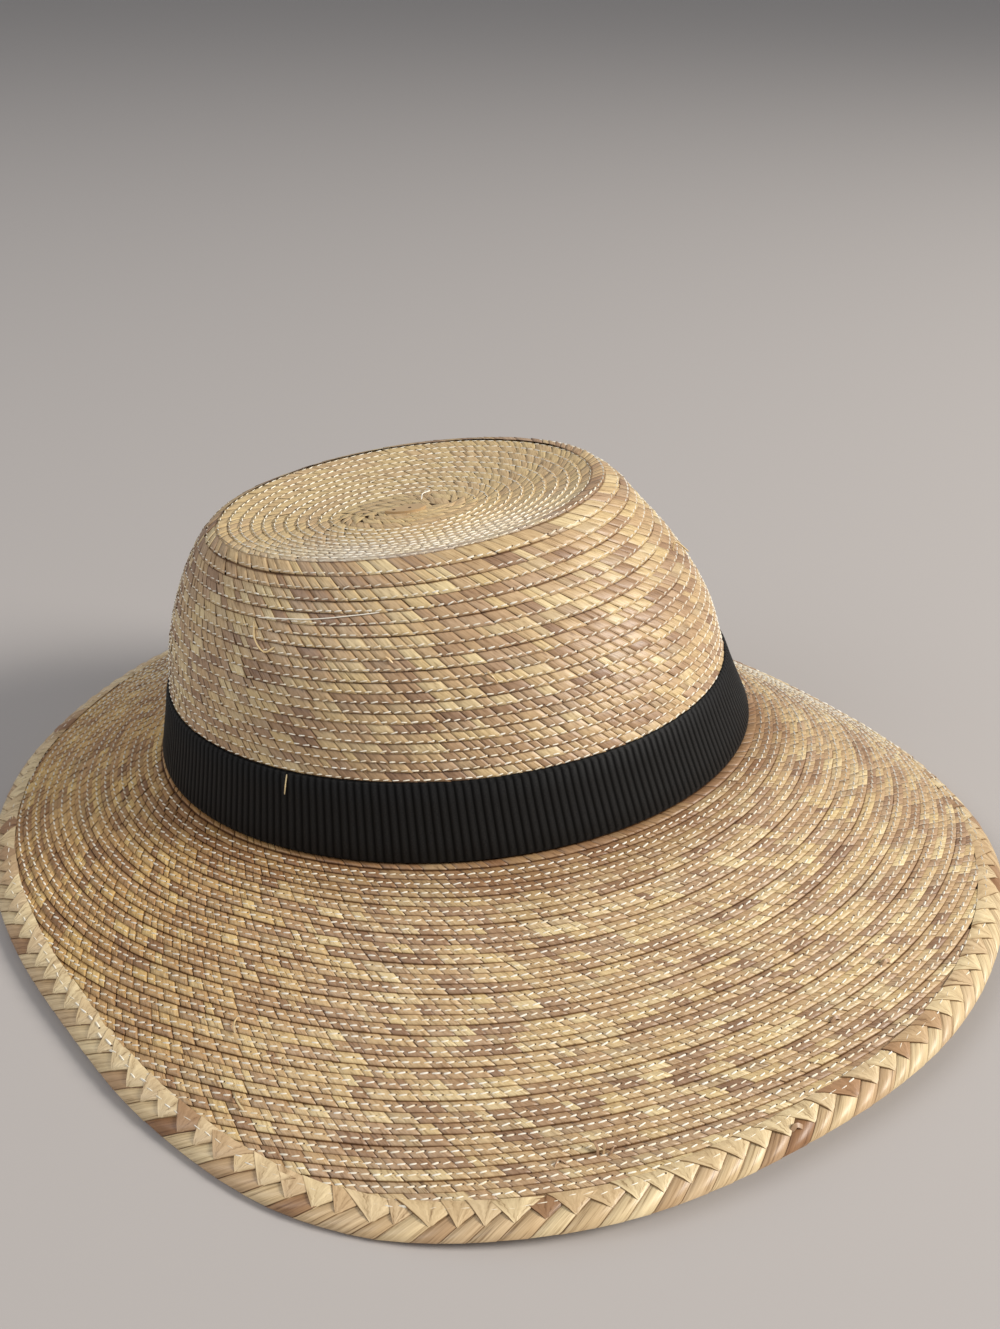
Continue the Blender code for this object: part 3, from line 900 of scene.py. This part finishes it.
# The inner leaf is a wedge that leans against the slant. Its left end lies over the next leaf.
upper_way = leaf_way[5::-1]
inner_points = []
inner_grain = []
inner_inward = []
for share in np.linspace(0, 1, 6):
    inward = 0.0086 - 0.0066 * share
    left = -1.50 + 1.96 * share
    lying = np.interp(inward, upper_way[:, 0], upper_way[:, 1]) + 0.00030
    for ahead, rise in ((0.0, -0.0001), (0.02, 0.00030), (0.5, 0.00014), (0.97, 0.0), (1.0, -0.0003)):
        sunk = 0.0005 if share in (0, 1) else 0.0
        inner_points.append((left + (0.5 - left) * ahead, inward, lying + rise - sunk))
        inner_grain.append((ahead - 0.5, share - 0.5, 0.0))
        inner_inward.append(-inward)
inner_leaf = little_piece("inner_leaf", inner_points, [face[::-1] for face in grid_faces(6, 5)],
                          {"grain": inner_grain, "inward": inner_inward})


def edge_places(pitch, aside, up, seed):
    """Places spaced along the brim's edge, with frames that follow its fall."""
    ring = edge_ring(-aside, up)
    way = way_along(np.concatenate([ring, ring[:1]]))
    count = round(way[-1] / pitch)
    random = np.random.default_rng(seed)
    marks = (np.arange(count) + 0.12 * random.uniform(-1, 1, count)) * way[-1] / count
    ends = np.append(marks, marks[0] + way[-1])
    middle = (ends[1:] + ends[:-1]) / 2 % way[-1]
    turn = np.interp(middle, way, np.arange(STEPS + 1.0)) / STEPS

    def read(values):
        return np.stack([round_value(values[:, axis], turn) for axis in range(3)], 1)

    along = unit(read(np.roll(ring, -1, axis=0) - np.roll(ring, 1, axis=0)))
    rising = read(edge_up)
    square_up = unit(rising - (rising * along).sum(1)[:, None] * along)
    return {"place": read(ring), "along": along, "up": square_up, "length": np.diff(ends),
            "tone": random.random(count)}


plait_places = edge_places(PLAIT_PITCH, 0.0, 0.0, 31)
leaves = []
for name, leaf, seed in (("outer_leaves", outer_leaf, 5), ("inner_leaves", inner_leaf, 9)):
    own_tones = {**plait_places, "tone": np.random.default_rng(seed).random(len(plait_places["tone"]))}
    cloud = point_cloud(name, own_tones, sizes_of(plait_places["length"], 1, 1))
    leaves.append(laid(cloud, leaf, PLAIT_SLANT, LEAF_WOBBLE, seed, plait_straw))
    bpy.data.objects.remove(leaf, do_unlink=True)
bpy.ops.object.select_all(action="DESELECT")
for piece in (*leaves, plait_base):
    piece.select_set(True)
bpy.context.view_layer.objects.active = plait_base
bpy.ops.object.join()
edge_plait = plait_base
edge_plait.name = "edge_plait"
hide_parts("edge_binding")
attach(edge_plait, "root")


# Binding's stitching. Longer and less even stitches hold the binding down along its inner side.

BINDING_STITCH = 0.0037
BINDING_SEAM = 0.0061
BINDING_TOP = 0.0019
BINDING_RISE = 0.08
BINDING_UNEVEN = 0.12
BINDING_WANDER = 0.0004
SEWN_SHARES = (0.66, 0.86)
seam = edge_places(BINDING_STITCH, BINDING_SEAM, BINDING_TOP, 41)
random = np.random.default_rng(42)
count = len(seam["tone"])
inwards = turned_in(seam, BINDING_UNEVEN * random.standard_normal(count) + BINDING_RISE)
wander = BINDING_WANDER * random.standard_normal(count)
seam["place"] = seam["place"] + inwards * wander[:, None]
seam_lengths = seam["length"] * random.uniform(*SEWN_SHARES, count)
seam_cloud = point_cloud("binding_stitching", seam, sizes_of(seam_lengths, 1, 1))
binding_stitching = laid(seam_cloud, stitch, 0.0, STITCH_WOBBLE, 43, cream_thread)
bpy.data.objects.remove(stitch, do_unlink=True)
bpy.data.objects.remove(strand, do_unlink=True)
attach(binding_stitching, "root")


# Loose ends. Short leaf ends stick out where strips were joined, with a few knots and a frayed
# stub at the front. The folded start of the braid lies flat in the middle of the tip, and the
# sewing thread leaves a tail there and a doubled run round the left of the crown.

# The braid's start and its holes are given in millimetres from the middle of the tip. The lines
# give turns round the hat, a row and a height in millimetres at each stop, and then a radius.
START_OUTLINE = ((-6.5, -0.4), (-3.5, -2.0), (0.5, -2.6), (4.5, -2.0), (6.5, 0.2), (4.5, 2.3), (0.0, 2.6),
                 (-4.0, 1.3))
START_HOLES = ((-3.6, -0.4), (1.4, -0.2))
TIP_RISE = 0.078
NEARLY_UP = (0.31, 0.22, 0.93)
CROWN_STRAWS = (
    (((0.7868, 24.8, 0.5), (0.7885, 25.2, 1.7), (0.7903, 25.9, 1.0)), 0.00028),
    (((0.975, 22.6, 0.5), (0.978, 22.2, 2.6), (0.981, 23.6, 3.6)), 0.00025),
    (((0.6705, 35.2, 0.8), (0.6708, 36.2, 2.1), (0.6701, 37.4, 2.2)), 0.00022),
    (((0.6465, 20.3, 0.5), (0.6500, 21.9, 1.3), (0.6580, 22.9, 1.5), (0.6640, 22.3, 0.5)), 0.00030),
    (((0.7320, 22.9, 0.5), (0.7345, 22.7, 1.2), (0.7375, 23.2, 0.9)), 0.00030),
)
BRIM_STRAWS = (
    (((0.6890, 18.4, 0.5), (0.6895, 19.2, 1.5), (0.6910, 20.0, 0.9)), 0.00025),
    (((0.6979, 25.0, 0.5), (0.7000, 25.8, 1.6), (0.7021, 26.3, 1.0)), 0.00028),
    (((0.7860, 30.2, 0.3), (0.7862, 29.9, 1.6), (0.7857, 29.5, 2.8)), 0.00042),
    (((0.7872, 30.3, 0.3), (0.7876, 30.1, 1.8), (0.7880, 29.8, 3.0)), 0.00036),
    (((0.7882, 30.4, 0.3), (0.7888, 30.4, 1.2), (0.7898, 30.1, 2.0)), 0.00030),
    (((0.7760, 30.7, 0.5), (0.7772, 30.2, 1.3), (0.7790, 30.6, 0.6)), 0.00025),
    (((0.8818, 24.5, 0.3), (0.8833, 24.4, 1.2), (0.8848, 24.6, 0.3)), 0.00075),
    (((0.8561, 26.0, 0.3), (0.8576, 25.9, 1.1), (0.8591, 26.1, 0.3)), 0.00065),
    (((0.8285, 32.9, 0.3), (0.8299, 32.8, 1.3), (0.8313, 33.0, 0.3)), 0.00080),
)
CROWN_THREADS = (
    (((0.196, 2.0, 0.5), (0.205, 3.0, 1.1), (0.196, 3.9, 0.8), (0.212, 4.7, 0.6)), 0.00018),
    (((0.650, 19.85, 0.6), (0.670, 19.65, 0.7), (0.690, 19.50, 0.6), (0.715, 19.20, 0.7),
      (0.735, 19.0, 0.6)), 0.00017),
)


def lifted(rings, rows, stops):
    """A smooth line over a surface, through stops that each give turns, a row and a height in mm."""
    knots = np.arange(len(stops), dtype=float)
    at = np.linspace(0, knots[-1], 4 * len(stops))
    turn, row, height = [curve_through(knots, values, at) for values in np.array(stops, float).T]
    along = on_rings(rings, rows, turn + 0.002, row) - on_rings(rings, rows, turn - 0.002, row)
    outwards = on_rings(rings, rows, turn, row + 0.5) - on_rings(rings, rows, turn, row - 0.5)
    up = unit(np.cross(outwards, along))
    return on_rings(rings, rows, turn, row) + up * height[:, None] / 1000


def tube(line, radius):
    """A closed four-sided tube along a line, thinner at its ends: its points and faces."""
    way = unit(np.gradient(line, axis=0))
    side = unit(np.cross(way, NEARLY_UP))
    over = np.cross(side, way)
    thick = np.full(len(line), radius)
    thick[[0, -1]] *= 0.6
    rings = [line + thick[:, None] * (side * across + over * above)
             for across, above in ((1, 0), (0, 1), (-1, 0), (0, -1))]
    faces = [(0, 1, 2, 3), tuple(4 * len(line) - 1 - i for i in range(4))]
    for station in range(len(line) - 1):
        for corner in range(4):
            a = 4 * station + corner
            b = 4 * station + (corner + 1) % 4
            faces.append((a, a + 4, b + 4, b))
    return np.stack(rings, 1).reshape(-1, 3), faces


def flat_patch(outline, height, skirt):
    """A flat patch over the middle of the tip, with a skirt down into the rows: points and faces."""
    middle = CROWN_RINGS[0].mean(0)
    lengthwise = np.array([math.cos(LEAN_LEFT), 0, math.sin(LEAN_LEFT) + TIP_RISE])
    top = middle + np.array([[x * lengthwise[0], y, x * lengthwise[2] + height] for x, y in outline]) / 1000
    low = top - [0, 0, skirt / 1000]
    count = len(outline)
    faces = [tuple(range(count))]
    faces += [(i, count + i, count + (i + 1) % count, (i + 1) % count) for i in range(count)]
    return np.concatenate([top, low]), faces


def gathered(name, parts, values, material):
    """One piece from several bits, each with one number of its own per named value."""
    points = []
    faces = []
    numbers = {value_name: [] for value_name in values}
    for index, (bit_points, bit_faces) in enumerate(parts):
        faces += [tuple(len(points) + i for i in face) for face in bit_faces]
        points += [tuple(map(float, point)) for point in bit_points]
        for value_name in values:
            numbers[value_name] += [float(values[value_name][index])] * len(bit_points)
    piece = little_piece(name, points, faces, numbers)
    piece.data.materials.append(material)
    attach(piece, "root")
    return piece


straw_parts = [tube(lifted(CROWN_RINGS, crown_rows, stops), radius) for stops, radius in CROWN_STRAWS]
straw_parts += [tube(lifted(BRIM_RINGS, brim_rows, stops), radius) for stops, radius in BRIM_STRAWS]
straw_parts.append(flat_patch(START_OUTLINE, 1.10, 1.6))
straw_tones = [0.45, 0.50, 0.74, 0.52, 0.40, 0.55, 0.74, 0.05, 0.25, 0.02, 0.95, 0.10, 0.02, 0.05, 0.32]
gathered("leaf_ends", straw_parts, {"tone": straw_tones}, braid_straw)
round_hole = [(0.55 * math.cos(k * math.pi / 4), 0.45 * math.sin(k * math.pi / 4)) for k in range(8)]
thread_parts = [tube(lifted(CROWN_RINGS, crown_rows, stops), radius) for stops, radius in CROWN_THREADS]
# The holes in the braid's start are flat patches of painted shade.
thread_parts += [flat_patch([(x + a, y + b) for a, b in round_hole], 1.16, 0.3) for x, y in START_HOLES]
gathered("thread_ends", thread_parts, {"tone": [0.9, 0.8, 0, 0], "hole": [0, 0, 1, 1]}, cream_thread)


# Setting: a plain pale floor, the camera at the photograph's angle, a large soft light at the
# upper right, a weaker one at the left and a pale room.

PICTURE_HEIGHT = 1329
FOCAL_PIXELS = 1300
floor_mesh = bpy.data.meshes.new("floor")
floor_mesh.from_pydata([(-30, -30, 0), (30, -30, 0), (30, 30, 0), (-30, 30, 0)], [], [(0, 1, 2, 3)])
floor_look, _, floor_shader = new_material("pale_floor", 0.9)
floor_shader.inputs["Base Color"].default_value = linear(182, 176, 172)
floor_mesh.materials.append(floor_look)
floor = new_object("floor", floor_mesh)

camera_data = bpy.data.cameras.new("camera")
camera_data.sensor_fit = "VERTICAL"
camera_data.lens = camera_data.sensor_height * FOCAL_PIXELS / PICTURE_HEIGHT
camera_data.clip_start = 0.01
camera = new_object("camera", camera_data)
camera.location = (0.00673, -0.35965, 0.2713)
camera.rotation_euler = (math.radians(60.1), 0, 0)
bpy.context.scene.camera = camera


def soft_light(name, place, target, size, power, colour):
    """A square area light that faces its target."""
    data = bpy.data.lights.new(name, "AREA")
    data.size = size
    data.energy = power
    data.color = colour
    lamp = new_object(name, data)
    lamp.location = place
    away = np.array(place) - np.array(target)
    level = math.hypot(away[0], away[1])
    lamp.rotation_euler = (math.atan2(level, away[2]), 0, math.atan2(away[1], away[0]) + math.pi / 2)


soft_light("window", (2.1, -0.5, 1.4), (0, 0, 0.05), 0.8, 72.0, (1.0, 0.965, 0.91))
soft_light("fill", (-2.0, -1.0, 2.4), (0, 0, 0.05), 2.0, 30.0, (0.98, 0.98, 1.0))
world = bpy.data.worlds.new("room")
world.use_nodes = True
background = world.node_tree.nodes["Background"].inputs
background["Color"].default_value = (0.86, 0.88, 0.92, 1)
background["Strength"].default_value = 0.36
bpy.context.scene.world = world
bpy.context.scene.view_settings.view_transform = "Standard"
